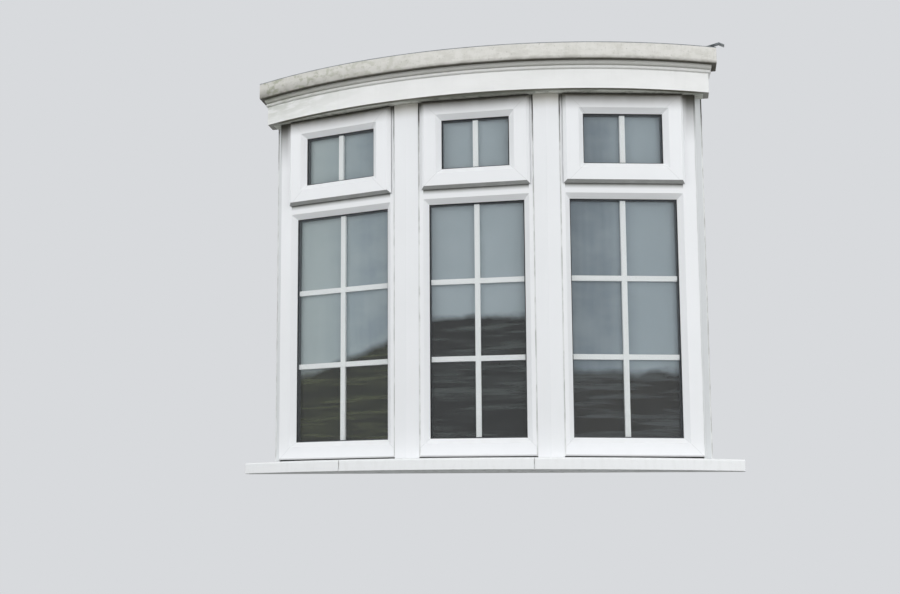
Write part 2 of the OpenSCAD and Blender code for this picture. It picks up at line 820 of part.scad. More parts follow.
at_light(1) fixed_glass(side_w);  // right_fixed_glass
at_light(-1) fan_glass(side_w);  // left_fan_glass
at_light(0) fan_glass(middle_w);  // middle_fan_glass
at_light(1) fan_glass(side_w);  // right_fan_glass
at_light(-1) glazing_bars(side_w);  // left_glazing_bars
at_light(0) glazing_bars(middle_w);  // middle_glazing_bars
at_light(1) glazing_bars(side_w);  // right_glazing_bars
at_light(-1) spacers(side_w);  // left_spacers
at_light(0) spacers(middle_w);  // middle_spacers
at_light(1) spacers(side_w);  // right_spacers
at_light(-1) beads(side_w);  // left_beads
at_light(0) beads(middle_w);  // middle_beads
at_light(1) beads(side_w);  // right_beads
at_light(-1) fan_handle();  // left_handle
at_light(0) fan_handle();  // middle_handle
at_light(1) fan_handle();  // right_handle
bay_post(-1);  // left_bay_post
bay_post(1);  // right_bay_post
post_cover(-1);  // left_post_cover
post_cover(1);  // right_post_cover
jamb_trim(-1);  // left_jamb_trim
jamb_trim(1);  // right_jamb_trim
window_board();
head_board();
canopy_soffit();
canopy_fascia();
canopy_bead();
canopy_edge();
canopy_framing();
canopy_roof();
wall_flashing();
flashing_apron();
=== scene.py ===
"""Three-light bow window in white PVC-U under a curved timber canopy, dressed around its frame.

The frame holds every rigid piece. This script gives each piece the finish of its real material, parts each
sealed unit into its two panes, runs the sealant along the joints, and sets up a plain studio at the
photograph's angle. Lengths are in metres, unless a name ends in _mm.
"""

import logging
import math
from abc import ABC, abstractmethod
from dataclasses import dataclass, field, replace
from enum import Enum
from typing import Any, ClassVar, Iterator, Mapping, Sequence

import bmesh
import bpy
from mathutils import Euler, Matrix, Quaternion, Vector


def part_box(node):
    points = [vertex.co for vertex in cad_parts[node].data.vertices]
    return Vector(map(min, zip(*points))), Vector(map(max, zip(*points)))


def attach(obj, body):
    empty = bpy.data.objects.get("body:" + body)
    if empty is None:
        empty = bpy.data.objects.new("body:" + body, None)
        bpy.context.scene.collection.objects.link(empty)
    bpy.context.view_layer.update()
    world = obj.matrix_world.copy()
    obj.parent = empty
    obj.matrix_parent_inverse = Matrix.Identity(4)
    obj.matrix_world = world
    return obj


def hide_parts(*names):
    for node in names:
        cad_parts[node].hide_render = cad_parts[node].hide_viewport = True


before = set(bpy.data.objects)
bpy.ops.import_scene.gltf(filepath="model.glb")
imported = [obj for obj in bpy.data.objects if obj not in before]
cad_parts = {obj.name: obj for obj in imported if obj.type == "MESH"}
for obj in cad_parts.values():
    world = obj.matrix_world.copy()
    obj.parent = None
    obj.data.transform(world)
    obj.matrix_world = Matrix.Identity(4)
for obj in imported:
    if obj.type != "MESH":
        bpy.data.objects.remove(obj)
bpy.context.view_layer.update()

LOG = logging.getLogger("bow_window")
BODY = "root"
MM = 0.001

# Height of the canopy's underside. Below it, painted shade with dirt darkens the PVC, and the sealant grows
# darker towards it.
EAVES = 1.267

Socket = bpy.types.NodeSocket
Tree = bpy.types.NodeTree
Span = tuple[float, float]
Triple = tuple[float, float, float]

# A Mix node's colour sockets share their names with its number sockets, so they go by their places.
MIX_COLOUR = dict(data_type="RGBA", out=2)
MIX_A = 6
MIX_B = 7


class Side(Enum):
    """The three lights, each with the sign of its turn about the vertical."""

    LEFT = -1
    MIDDLE = 0
    RIGHT = 1

    @property
    def word(self) -> str:
        """Name of the side as the nodes' names spell it."""
        return self.name.lower()


def linear(colour: str) -> tuple[float, float, float, float]:
    """Turns an sRGB hex colour into linear light.

    Args:
        colour: Six hex digits, such as "F1F3F5".

    Returns:
        Linear red, green and blue, with an alpha of 1.
    """
    shares = [int(colour[i : i + 2], 16) / 255 for i in (0, 2, 4)]
    light = [s / 12.92 if s <= 0.04045 else ((s + 0.055) / 1.055) ** 2.4 for s in shares]
    return (*light, 1.0)


def add_node(
    tree: Tree, kind: str, inputs: Mapping[int | str, Any] | None = None, out: int = 0, **settings: Any
) -> Socket | None:
    """Adds one shader node with its settings and links.

    Args:
        tree: Gets the node.
        kind: The node's type without its "ShaderNode" prefix.
        inputs: Sockets to link and values to set, by the input's name or number.
        out: Number of the output to hand back.
        **settings: Values of the node's own properties.

    Returns:
        The chosen output of the node, or None for an output node.
    """
    node = tree.nodes.new(f"ShaderNode{kind}")
    for name, value in settings.items():
        setattr(node, name, value)
    for key, value in (inputs or {}).items():
        if isinstance(value, Socket):
            tree.links.new(value, node.inputs[key])
        else:
            node.inputs[key].default_value = value
    return node.outputs[out] if node.outputs else None


@dataclass
class Canvas:
    """A node tree that patterns are drawn in, with each surface point's place in metres."""

    tree: Tree
    where: Socket
    done: dict["Pattern", Socket] = field(default_factory=dict)

    def draw(self, pattern: "Pattern | float") -> Socket | float:
        """Value of a pattern, whose nodes are added only once. A number is handed back as it is."""
        if isinstance(pattern, Pattern) and pattern not in self.done:
            self.done[pattern] = pattern.nodes(self)
        return self.done.get(pattern, pattern)

    def scaled(self, factors: Sequence[float]) -> Socket:
        """Each surface point's place, scaled along its axes."""
        return add_node(self.tree, "VectorMath", {0: self.where, 1: factors}, operation="MULTIPLY")


class Pattern(ABC):
    """A number at each surface point, mostly a mask from 0 to 1, that sums can be done with."""

    @abstractmethod
    def nodes(self, canvas: Canvas) -> Socket:
        """Adds the pattern's nodes and hands back its value."""

    def __add__(self, other: "Pattern | float") -> "Pattern":
        """Sum of two patterns."""
        return Reckoned("ADD", self, other)

    def __sub__(self, other: "Pattern | float") -> "Pattern":
        """Difference of two patterns."""
        return Reckoned("SUBTRACT", self, other)

    def __mul__(self, other: "Pattern | float") -> "Pattern":
        """Product of two patterns: a mask of where both are."""
        return Reckoned("MULTIPLY", self, other)

    def __or__(self, other: "Pattern") -> "Pattern":
        """The larger of two patterns: a mask of where one of them is."""
        return Reckoned("MAXIMUM", self, other)

    def __abs__(self) -> "Pattern":
        """The pattern without its sign."""
        return Reckoned("ABSOLUTE", self)


@dataclass(frozen=True)
class Reckoned(Pattern):
    """Outcome of a sum on one or two patterns, named as the Math node names it."""

    operation: str
    a: Pattern
    b: Pattern | float = 0.0

    def nodes(self, canvas: Canvas) -> Socket:
        """Does the sum."""
        values = {0: canvas.draw(self.a), 1: canvas.draw(self.b)}
        return add_node(canvas.tree, "Math", values, operation=self.operation)


@dataclass(frozen=True)
class Along(Pattern):
    """The point's place along one axis, in metres."""

    axis: int

    def nodes(self, canvas: Canvas) -> Socket:
        """Takes the axis out of the point."""
        return add_node(canvas.tree, "SeparateXYZ", {0: canvas.where}, out=self.axis)


@dataclass(frozen=True)
class Reach(Pattern):
    """The point's distance from the origin, in metres."""

    def nodes(self, canvas: Canvas) -> Socket:
        """Takes the length of the way to the point."""
        return add_node(canvas.tree, "VectorMath", {0: canvas.where}, out=1, operation="LENGTH")


@dataclass(frozen=True)
class Upward(Pattern):
    """The upward part of the surface's normal."""

    def nodes(self, canvas: Canvas) -> Socket:
        """Takes the vertical out of the normal."""
        return add_node(canvas.tree, "SeparateXYZ", {0: add_node(canvas.tree, "NewGeometry", out=1)}, out=2)


@dataclass(frozen=True)
class Openness(Pattern):
    """How open the space round a point is: 1 in the open, less in a corner."""

    reach_mm: float
    samples: int = 6

    def nodes(self, canvas: Canvas) -> Socket:
        """Looks round the point as far as the reach."""
        reach = {"Distance": MM * self.reach_mm}
        return add_node(canvas.tree, "AmbientOcclusion", reach, out=1, samples=self.samples)


@dataclass(frozen=True)
class Ray(Pattern):
    """What the renderer's rays say of themselves: 1 for rays of a kind, or a count of bounces."""

    kind: str

    def nodes(self, canvas: Canvas) -> Socket:
        """Reads the output of the kind."""
        return add_node(canvas.tree, "LightPath").node.outputs[self.kind]


@dataclass(frozen=True)
class Noise(Pattern):
    """Clouds of noise, sized in mm along each axis and broken up by finer octaves."""

    size_mm: Triple
    octaves: float
    octave_share: ClassVar[float] = 0.55

    def nodes(self, canvas: Canvas) -> Socket:
        """Scales the point to the clouds' size and looks the noise up.

        Args:
            canvas: Gets the nodes.

        Returns:
            The noise, mostly between 0.2 and 0.8.
        """
        scaled = canvas.scaled([1 / (MM * size) for size in self.size_mm])
        sizes = {"Vector": scaled, "Scale": 1.0, "Detail": self.octaves, "Roughness": self.octave_share}
        return add_node(canvas.tree, "TexNoise", sizes)


@dataclass(frozen=True)
class GrowthRings(Pattern):
    """Bent growth rings of timber, drawn out along the x axis."""

    stretch: Triple = (1.0, 14.0, 14.0)
    scale: float = 3.2
    bend: float = 5.5
    octaves: float = 3.0
    octave_scale: float = 1.2

    def nodes(self, canvas: Canvas) -> Socket:
        """Draws the point out and looks the rings up.

        Args:
            canvas: Gets the nodes.

        Returns:
            The rings, 0 to 1 from early to late wood.
        """
        waves = {"Vector": canvas.scaled(self.stretch), "Scale": self.scale, "Distortion": self.bend}
        waves |= {"Detail": self.octaves, "Detail Scale": self.octave_scale}
        return add_node(canvas.tree, "TexWave", waves, out=1, wave_type="RINGS", rings_direction="X")


@dataclass(frozen=True)
class Fade(Pattern):
    """Grows from `least` where a pattern is `none` to `most` where it is `full`.

    Above 1, `power` keeps it closer to its full end. A smooth one runs out softly at both ends.
    """

    of: Pattern
    none: float = 0.0
    full: float = 1.0
    power: float = 1.0
    smooth: bool = False
    least: float = 0.0
    most: float = 1.0

    def nodes(self, canvas: Canvas) -> Socket:
        """Maps the pattern's span to the fade's own.

        Args:
            canvas: Gets the nodes.

        Returns:
            The fade.
        """
        ends = {"From Min": self.none, "From Max": self.full, "To Min": self.least, "To Max": self.most}
        curve = "SMOOTHSTEP" if self.smooth else "LINEAR"
        value = {"Value": canvas.draw(self.of), **ends}
        share = add_node(canvas.tree, "MapRange", value, interpolation_type=curve)
        if self.power == 1.0:
            return share
        return add_node(canvas.tree, "Math", {0: share, 1: self.power}, operation="POWER")


def patches(x_mm: float, y_mm: float, z_mm: float, low: float, high: float, octaves: float = 4.0) -> Fade:
    """Soft-edged patches of noise, from none where the noise is low to full where it is high."""
    return Fade(Noise((x_mm, y_mm, z_mm), octaves), low, high, smooth=True)


def corners(reach_mm: float, shut: float, clear: float) -> Fade:
    """Inner corners that no cloth or rain gets into, by how open the space round a point is; darkening them
    paints shade too.
    """
    return Fade(Openness(reach_mm), clear, shut, smooth=True)


X, Y, Z = (Along(axis) for axis in range(3))
# Faces that look up, where dust settles, and faces that look down, which the rain never washes and which are
# painted darker as shade.
LEDGES = Fade(Upward(), 0.35, 0.9)
UNDERSIDES = Fade(Upward(), -0.55, -0.85)
# Rays that look at the backdrop: straight, mirrored or through glass.
SIGHT = Ray("Is Camera Ray") | Ray("Is Glossy Ray") | Ray("Is Transmission Ray")


@dataclass(frozen=True)
class Coat:
    """A colour over what lies below: where its pattern is 1, it covers the share `cover`."""

    colour: "str | Paint"
    pattern: Pattern
    cover: float = 1.0

    def __mul__(self, held: Pattern) -> "Coat":
        """The coat where a further pattern is too."""
        return replace(self, pattern=self.pattern * held)

    def over(self, canvas: Canvas, below: Socket | tuple) -> Socket:
        """Lays the coat over the colour below.

        Args:
            canvas: Gets the nodes.
            below: The colour so far.

        Returns:
            The mixed colour.
        """
        share = canvas.draw(self.pattern * self.cover)
        colour = self.colour.mixed(canvas) if isinstance(self.colour, Paint) else linear(self.colour)
        return add_node(canvas.tree, "Mix", {0: share, MIX_A: below, MIX_B: colour}, **MIX_COLOUR)


@dataclass(frozen=True)
class Paint:
    """A base colour and its coats, lowest first."""

    base: str
    coats: Sequence[Coat] = ()

    def mixed(self, canvas: Canvas) -> Socket | tuple:
        """Lays the coats over the base, one after the other.

        Args:
            canvas: Gets the nodes.

        Returns:
            The colour, or the base itself without coats.
        """
        colour = linear(self.base)
        for coat in self.coats:
            colour = coat.over(canvas, colour)
        return colour


@dataclass(frozen=True)
class Hanging:
    """Darkening that hangs from a level, painted shade with dirt: full at a distance `full` below it and gone
    at `reach`.
    """

    colour: str
    reach: float
    full: float = 0.010
    power: float = 1.0
    cover: float = 1.0

    def coat(self, level: float) -> Coat:
        """The darkening below a level."""
        hung = Fade(Z, level - self.reach, level - self.full, self.power)
        return Coat(self.colour, hung, self.cover)


@dataclass(frozen=True)
class Look:
    """What a finish puts on its base: coats, wear that changes the gloss, and a fine relief."""

    coats: Sequence[Coat]
    wear: Pattern
    relief: Pattern | None = None


@dataclass(frozen=True)
class Place:
    """Local frame of one light: x along it, y inwards and z up, from the middle of its foot."""

    foot: Vector
    turn: float

    def point(self, x: float, y: float, z: float) -> Vector:
        """Row-frame point for local x, y and z."""
        c, s = math.cos(self.turn), math.sin(self.turn)
        return self.foot + Vector((c * x - s * y, s * x + c * y, z))

    def surface_point(self, tree: Tree, where: Socket) -> Socket:
        """Moves a surface point of the row frame into the light's frame."""
        moved = add_node(tree, "VectorMath", {0: where, 1: self.foot}, operation="SUBTRACT")
        return add_node(tree, "VectorRotate", {"Vector": moved, "Angle": -self.turn}, rotation_type="Z_AXIS")


@dataclass(frozen=True)
class Bow:
    """Plan arc that the sill and the canopy share, worked out from the sill's front edge."""

    centre_y: float
    radius: float

    @classmethod
    def of_frame(cls) -> "Bow":
        """Finds the arc from the sill's nose and from its front edge beside the left butt joint.

        Returns:
            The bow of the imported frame.
        """
        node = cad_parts["sill_middle"]
        points = [node.matrix_world @ vertex.co for vertex in node.data.vertices]
        nose = min(points, key=lambda point: point.y)
        joint_x = min(point.x for point in points)
        joint = min((p for p in points if p.x < joint_x + 5 * MM), key=lambda point: point.y)
        run, back = joint.x - nose.x, joint.y - nose.y
        radius = (run**2 + back**2) / (2 * back)
        return cls(centre_y=nose.y + radius, radius=radius)

    def surface_point(self, tree: Tree, where: Socket) -> Socket:
        """Unrolls the bow: x is the length along its arc, y the distance from its centre and z the height.

        Args:
            tree: Gets the nodes.
            where: The surface point in the row frame.

        Returns:
            The unrolled point in metres.
        """
        x, y, z = add_node(tree, "SeparateXYZ", {0: where}).node.outputs
        depth = add_node(tree, "Math", {0: self.centre_y, 1: y}, operation="SUBTRACT")
        arc = add_node(tree, "Math", {0: x, 1: depth}, operation="ARCTAN2")
        length = add_node(tree, "Math", {0: arc, 1: self.radius}, operation="MULTIPLY")
        return add_node(tree, "CombineXYZ", {0: length, 1: depth, 2: z})


@dataclass(frozen=True)
class Finish(ABC):
    """One finish: a base colour, what lies on it, its gloss and its relief, as a material made of nodes.

    Its patterns are drawn in the frame of a light, along the bow or, without a site, in the row frame. Its
    roughness goes from the first value to the second along its wear.
    """

    title: ClassVar[str]
    constants: ClassVar[Mapping[str, float]] = {}
    site: Place | Bow | None = None
    base: str = "FFFFFF"
    rough: Span = (0.4, 0.6)
    relief_mm: float = 0.1
    bump: float = 0.5

    @abstractmethod
    def look(self) -> Look:
        """What lies on the base."""

    def shader(self, canvas: Canvas) -> Socket:
        """Makes the surface from the look.

        Args:
            canvas: Gets the nodes.

        Returns:
            The Principled shader's output.
        """
        look, (fresh, dull) = self.look(), self.rough
        sockets = {"Base Color": Paint(self.base, look.coats).mixed(canvas), **self.constants}
        sockets["Roughness"] = canvas.draw(Fade(look.wear, least=fresh, most=dull))
        if look.relief:
            relief = {"Strength": self.bump, "Distance": self.relief_mm * MM}
            sockets["Normal"] = add_node(canvas.tree, "Bump", {"Height": canvas.draw(look.relief), **relief})
        return add_node(canvas.tree, "BsdfPrincipled", sockets)

    def material(self, suffix: str = "") -> bpy.types.Material:
        """Makes the material and fills its tree.

        Args:
            suffix: Word that tells copies of one finish apart.

        Returns:
            The finished material.
        """
        made = bpy.data.materials.new(f"{self.title}{suffix}")
        made.use_nodes = True
        tree = made.node_tree
        tree.nodes.clear()
        where = add_node(tree, "TexCoord", out=3)
        canvas = Canvas(tree, self.site.surface_point(tree, where) if self.site else where)
        add_node(tree, "OutputMaterial", {"Surface": self.shader(canvas)})
        return made


@dataclass(frozen=True)
class ExtrudedPvc(Finish):
    """White PVC-U, extruded and welded at the mitres.

    The skin is smooth and half glossy, so it shows soft highlights. Rain leaves faint grey runs, dust lies
    on the ledges, dirt and painted shade darken the inner corners, and a hair line crosses each welded mitre.
    Outdoors, painted shade with dirt hangs under the canopy and under a sash and lies on the faces that look
    down, and the foot and the strip beside the wall are darker.
    """

    title: ClassVar[str] = "white_pvcu_extruded_and_mitre_welded"
    constants: ClassVar[Mapping[str, float]] = {"IOR": 1.53}
    base: str = "F1F2F4"
    rough: Span = (0.29, 0.35)
    relief_mm: float = 0.12
    # Dark colour of dirt and of painted shade.
    grime_and_shade: str = "70716C"
    rain_clouds: Coat = Coat("DADBDB", patches(240, 240, 300, 0.3, 0.75, 3), 0.12)
    rain_runs: Coat = Coat("DADBDB", patches(70, 70, 420, 0.3, 0.9, 2), 0.06)
    dust: Coat = Coat("C3C0B6", LEDGES * patches(35, 35, 35, 0.25, 0.75), 0.16)
    # Inner corners found by ambient occlusion, darkened as dirt and painted shade.
    corner_grime_and_shade: Coat = Coat(grime_and_shade, corners(10, 0.3, 0.8) * patches(30, 30, 60, 0.15, 0.6), 0.25)
    peel: Pattern = patches(4, 4, 6, 0.0, 1.0, 2) * 0.25
    weld_box: Triple | None = None
    weld_span: Span = (0.9 * MM, 0.18 * MM)
    weld_cover: float = 0.35
    indoors: bool = False
    outer_side: Pattern = Fade(Y, 0.040, 0.028)
    uneven: Pattern = Fade(patches(45, 45, 70, 0.1, 0.6), least=0.85)
    # Below a sash, dirt and the sash's painted shadow on the transom.
    drip_foot: float | None = None
    drip: Hanging = Hanging(grime_and_shade, reach=0.018, full=0.003, power=1.3, cover=0.9)
    # Darker along the frame's foot, where it meets the sill.
    splash: Coat | None = None
    # Painted shade with dirt under the canopy, darkest just below the soffit.
    wash: Hanging = Hanging("615E56", reach=0.060, power=1.6)
    wall_edge: float | None = None
    wall_span: Span = (0.042, 0.0168)
    # Darker towards the eaves, beside the wall edge.
    wall_darkening: Hanging = Hanging("3A382F", reach=0.19, power=1.7)
    # Faces that look down, painted darker: shade with dirt.
    below: Coat = Coat(grime_and_shade, Fade(Upward(), -0.69, -0.74), 0.76)

    def weld(self) -> Pattern:
        """Hair line along the mitres of a ring, from its half width, foot and head.

        Returns:
            The mask, 1 on the line.
        """
        half, low, high = self.weld_box
        off = abs(abs(Z - (low + high) / 2) - abs(X) - ((high - low) / 2 - half))
        return Fade(off, *self.weld_span)

    def outdoors(self) -> Iterator[Coat]:
        """Darkening of the outer side: painted shade with dirt under a sash, under the canopy and below, and
        darker at the foot and by the wall.

        Yields:
            The coats, lowest first.
        """
        held = self.uneven * self.outer_side if self.site else self.uneven
        eaves = EAVES - (self.site.foot.z if self.site else 0)
        if self.drip_foot is not None:
            yield self.drip.coat(self.drip_foot) * held
        if self.splash:
            yield self.splash * held
        yield self.wash.coat(eaves) * held
        if self.wall_edge is not None:
            near = Fade(abs(X - self.wall_edge), *self.wall_span)
            yield self.wall_darkening.coat(eaves) * near * held
        yield self.below * held

    def look(self) -> Look:
        """Rain marks, dust, dirt with painted shade in the corners, and weld lines in its fine orange peel.

        Returns:
            The look, with its relief.
        """
        coats, relief = [self.rain_clouds, self.rain_runs, self.dust, self.corner_grime_and_shade], self.peel
        if not self.indoors:
            coats += self.outdoors()
        if self.weld_box:
            line = self.weld()
            coats.append(Coat(self.grime_and_shade, line, self.weld_cover))
            relief = relief - line
        return Look(coats, self.rain_clouds.pattern, relief)


@dataclass(frozen=True)
class PostPvc(ExtrudedPvc):
    """The posts' flat covers and trims: the same white sheet, a trace greyer, under much paler painted shade
    with dirt.
    """

    title: ClassVar[str] = "white_pvcu_cover_board"
    base: str = "EFF0F2"
    # Painted shade with dirt under the canopy, paler than on the frames.
    wash: Hanging = Hanging("B8B5AD", reach=0.060, power=1.6)


@dataclass(frozen=True)
class BarPaint(Finish):
    """White enamelled aluminium of the bars between the panes: even, clean and satin, never rained on."""

    title: ClassVar[str] = "white_enamelled_aluminium_bar"
    base: str = "FCFDFE"
    clouds: Coat = Coat("F0F1F2", patches(90, 90, 90, 0.3, 0.8), 0.25)
    dust: Coat = Coat("F0F1F2", patches(3, 3, 3, 0.6, 0.8, 1), 0.2)
    rough: Span = (0.34, 0.46)
    relief_mm: float = 0.05
    bump: float = 0.3

    def look(self) -> Look:
        """Duller clouds and raised grains of dust."""
        return Look([self.clouds, self.dust], self.clouds.pattern, self.dust.pattern)


@dataclass(frozen=True)
class HandleCoat(Finish):
    """White powder coat on the die-cast handles: fine orange peel, worn a little greyer where fingers go."""

    title: ClassVar[str] = "white_powder_coat_on_die_cast_zinc"
    base: str = "EEEFEF"
    worn: Coat = Coat("C9C6BE", patches(22, 22, 12, 0.45, 0.75), 0.4)
    peel: Pattern = patches(1.5, 1.5, 1.5, 0.2, 0.8, 1)
    rough: Span = (0.3, 0.5)
    relief_mm: float = 0.08
    bump: float = 0.4

    def look(self) -> Look:
        """Duller worn spots on the peel."""
        return Look([self.worn], self.worn.pattern, self.peel)


@dataclass(frozen=True)
class SealRubber(Finish):
    """Black EPDM seals: matt, greyed by chalk and dust in short stretches along the strip."""

    title: ClassVar[str] = "black_epdm_seal"
    base: str = "2E3133"
    chalk: Coat = Coat("6B6D6B", patches(18, 18, 18, 0.4, 0.75), 0.45)
    grit: Coat = Coat("6B6D6B", patches(1.2, 1.2, 1.2, 0.45, 0.8, 1), 0.2)
    rough: Span = (0.55, 0.8)

    def look(self) -> Look:
        """Duller chalky stretches and raised grit."""
        return Look([self.chalk, self.grit], self.chalk.pattern, self.grit.pattern)


@dataclass(frozen=True)
class SealantBead(Finish):
    """Silicone sealant, tooled by hand: grey with held dust, and nearly black towards the eaves."""

    title: ClassVar[str] = "tooled_silicone_sealant"
    base: str = "E8E9E9"
    dust: Coat = Coat("D0D0CD", patches(30, 30, 60, 0.25, 0.7, 3), 0.6)
    # The coat below darkens the sealant to near black towards the eaves, more where dust lies.
    damp: Pattern = dust.pattern * 0.35 + Fade(Z, EAVES - 0.18, EAVES)
    mould: Coat = Coat("37342E", Fade(damp, 0.1, 1.05))
    tooling: Pattern = patches(2, 2, 9, 0.2, 0.8, 2)
    rough: Span = (0.42, 0.62)
    relief_mm: float = 0.15
    bump: float = 0.4

    def look(self) -> Look:
        """Duller dust and the darkening towards the eaves, on the tool's marks."""
        return Look([self.dust, self.mould], self.dust.pattern, self.tooling)


@dataclass(frozen=True)
class SpacerBar(Finish):
    """Mill-finish aluminium spacer between the panes: grey, brushed along its length, with vent slits and
    undersides painted darker as shade.
    """

    title: ClassVar[str] = "grey_aluminium_spacer_with_vent_slits"
    constants: ClassVar[Mapping[str, float]] = {"Metallic": 0.6}
    base: str = "6E7378"
    dark: str = "43474B"
    brushing: Coat = Coat(dark, patches(9, 1.2, 9, 0.3, 0.7, 2), 0.35)
    pitch_mm: float = 6.0
    wave: Pattern = Reckoned("SINE", (X + Z) * (2 * math.pi / (pitch_mm * MM)))
    slits: Coat = Coat(dark, Fade(wave, 0.6, 0.8), 0.35)
    # Faces that look down, painted darker: shade.
    below: Coat = Coat(dark, UNDERSIDES, 0.7)
    rough: Span = (0.38, 0.52)
    bump: float = 0.4

    def look(self) -> Look:
        """Brushing, a row of slits, and painted shade on the undersides."""
        return Look([self.brushing, self.slits, self.below], self.brushing.pattern, self.slits.pattern)


@dataclass(frozen=True)
class ClearFloat(Finish):
    """Outer pane of float glass: clear with a trace of green, dried rain marks and a slight waver."""

    title: ClassVar[str] = "clear_float_glass_outer_pane"
    constants: ClassVar[Mapping[str, float]] = {"IOR": 1.52, "Transmission Weight": 1.0}
    base: str = "FDFEFD"
    marks: Pattern = patches(9, 9, 60, 0.55, 0.8)
    waver: Pattern = patches(180, 180, 260, 0.0, 1.0, 1)
    rough: Span = (0.0, 0.05)
    relief_mm: float = 0.3
    bump: float = 0.15

    def look(self) -> Look:
        """Duller rain marks on the wavering sheet."""
        return Look([], self.marks, self.waver)

    def shader(self, canvas: Canvas) -> Socket:
        """Makes the pane. Lamps pass it, so that what lies behind it stays lit.

        Args:
            canvas: Gets the nodes.

        Returns:
            The mixed shader's output.
        """
        through = add_node(canvas.tree, "BsdfTransparent", {"Color": linear(self.base)})
        mix = {0: canvas.draw(Ray("Is Shadow Ray")), 1: super().shader(canvas), 2: through}
        return add_node(canvas.tree, "MixShader", mix)


@dataclass(frozen=True)
class DimFloat(Finish):
    """Inner pane of float glass with a painted reflection: pale painted sky above a soft uneven line, dark
    below.

    The painted sky goes from the base to a far colour across the span, under faint haze and upright streaks.
    The dark painted reflection below is broken by level bands.
    """

    title: ClassVar[str] = "dim_float_glass_inner_pane"
    constants: ClassVar[Mapping[str, float]] = {"IOR": 1.52, "Alpha": 0.93}
    base: str = "A8B4BB"
    rough: Span = (0.02, 0.06)
    far: str = "A8B4BB"
    span: Span = (-0.2, 0.2)
    haze: str = "B4BEC5"
    clouds: Pattern = patches(170, 170, 110, 0.3, 0.7, 3)
    cloud_cover: float = 0.4
    streaks: Pattern = patches(22, 22, 260, 0.35, 0.7, 2)
    streak_cover: float = 0.14
    shade: str = "0E1010"
    dusk: str = "4E5453"
    bands: Pattern = patches(240, 240, 16, 0.42, 0.66, 3)
    band_cover: float = 0.7
    horizon: float = 0.525
    soft: float = 0.018
    tilt: float = 0.0
    drift: Pattern = patches(95, 95, 60, 0.0, 1.0, 3) * 0.035

    def look(self) -> Look:
        """The painted sky, the dark painted reflection below and the line between them.

        Returns:
            The look, without relief.
        """
        level = Z + self.drift - X * self.tilt
        low = Fade(level, self.horizon + self.soft, self.horizon - self.soft, smooth=True)
        coats = [
            Coat(self.far, Fade(X, *self.span)),
            Coat(self.haze, self.clouds, self.cloud_cover),
            Coat(self.haze, self.streaks, self.streak_cover),
            Coat(Paint(self.shade, [Coat(self.dusk, self.bands, self.band_cover)]), low),
        ]
        return Look(coats, self.clouds)


@dataclass(frozen=True)
class SillPaint(Finish):
    """White gloss on the sill, brushed along its length: runs and splashes of rain, painted shade with mossy
    green-grey in the corners and underneath, and the bedding near black.
    """

    title: ClassVar[str] = "white_gloss_paint_on_sill"
    base: str = "F5F6F7"
    runs: Coat = Coat("D8D8D5", patches(16, 60, 45, 0.45, 0.75), 0.15)
    dust: Coat = Coat("D8D8D5", LEDGES * patches(45, 45, 45, 0.2, 0.7), 0.3)
    # Inner corners found by ambient occlusion, darkened: painted shade with mossy green-grey.
    moss: Coat = Coat("74776A", corners(14, 0.3, 0.8) * patches(40, 40, 40, 0.25, 0.6), 0.7)
    # The bedding under the frames is painted near black.
    bedding: Coat = Coat("3B3C37", Fade(Z, 0.021, 0.022), 0.95)
    # Faces that look down, painted darker: shade.
    below: Coat = Coat("74776A", UNDERSIDES, 0.8)
    brush: Pattern = patches(120, 2.5, 2.5, 0.2, 0.8, 3)
    rough: Span = (0.33, 0.5)
    relief_mm: float = 0.15
    bump: float = 0.4

    def look(self) -> Look:
        """Duller runs, dust, painted shade with mossy green-grey in the corners and below, the bedding near
        black, and the brush's strokes.
        """
        coats = [self.runs, self.dust, self.moss, self.bedding, self.below]
        return Look(coats, self.runs.pattern, self.brush)


@dataclass(frozen=True)
class CanopyPaint(Finish):
    """Warm white gloss on the canopy's fascia and bead, brushed along the curve: grey runs from above, with
    painted shade and dirt in the corners and underneath.
    """

    title: ClassVar[str] = "warm_white_gloss_paint_on_bent_timber"
    base: str = "F0F0EF"
    rough: Span = (0.36, 0.55)
    relief_mm: float = 0.2
    bump: float = 0.45
    brush: Pattern = patches(160, 3, 3, 0.2, 0.8, 3)
    clouds: Coat = Coat("DEDEDC", patches(150, 150, 60, 0.3, 0.75), 0.35)
    runs: Coat = Coat("DEDEDC", patches(17, 60, 150, 0.5, 0.74), 0.25)
    run_reach: float = 0.09
    run_least: float = 0.25
    # Dirt and painted shade in the inner corners, found by ambient occlusion.
    grime_and_shade: Coat = Coat("7F7D6F", corners(14, 0.3, 0.85) * patches(50, 50, 20, 0.2, 0.6), 0.5)
    algae: Coat = Coat("9A9F8A", Fade(X, -0.35, -0.85) * patches(60, 60, 14, 0.3, 0.62), 0.7)
    # Faces that look down, painted darker: shade with dirt.
    below: Pattern = Fade(Upward(), -0.15, -0.8)
    # How much of the corner and underside darkening is laid: painted shade and dirt.
    grime_and_shade_share: float = 1.0
    # Top band painted darker: the edge board's shadow with dirt, fading down over the reach.
    drip_reach: float = 0.030
    drip: float = 0.0
    top: float = 1.362

    def look(self) -> Look:
        """Clouds, runs from the top, painted shade with dirt in the corners and below, algae towards the left
        end, and, on the bead, a painted shadow with dirt at the top.

        Returns:
            The look, with the brush's strokes.
        """
        under_top = Fade(Z, self.top - self.run_reach, self.top, least=self.run_least)
        runs = self.runs * under_top
        coats = [
            self.clouds,
            runs,
            replace(self.grime_and_shade, cover=self.grime_and_shade.cover * self.grime_and_shade_share),
            self.algae * under_top,
            Coat(self.grime_and_shade.colour, self.below, self.grime_and_shade_share),
            Coat(self.grime_and_shade.colour, Fade(Z, self.top - self.drip_reach, self.top), self.drip),
        ]
        return Look(coats, runs.pattern, self.brush)


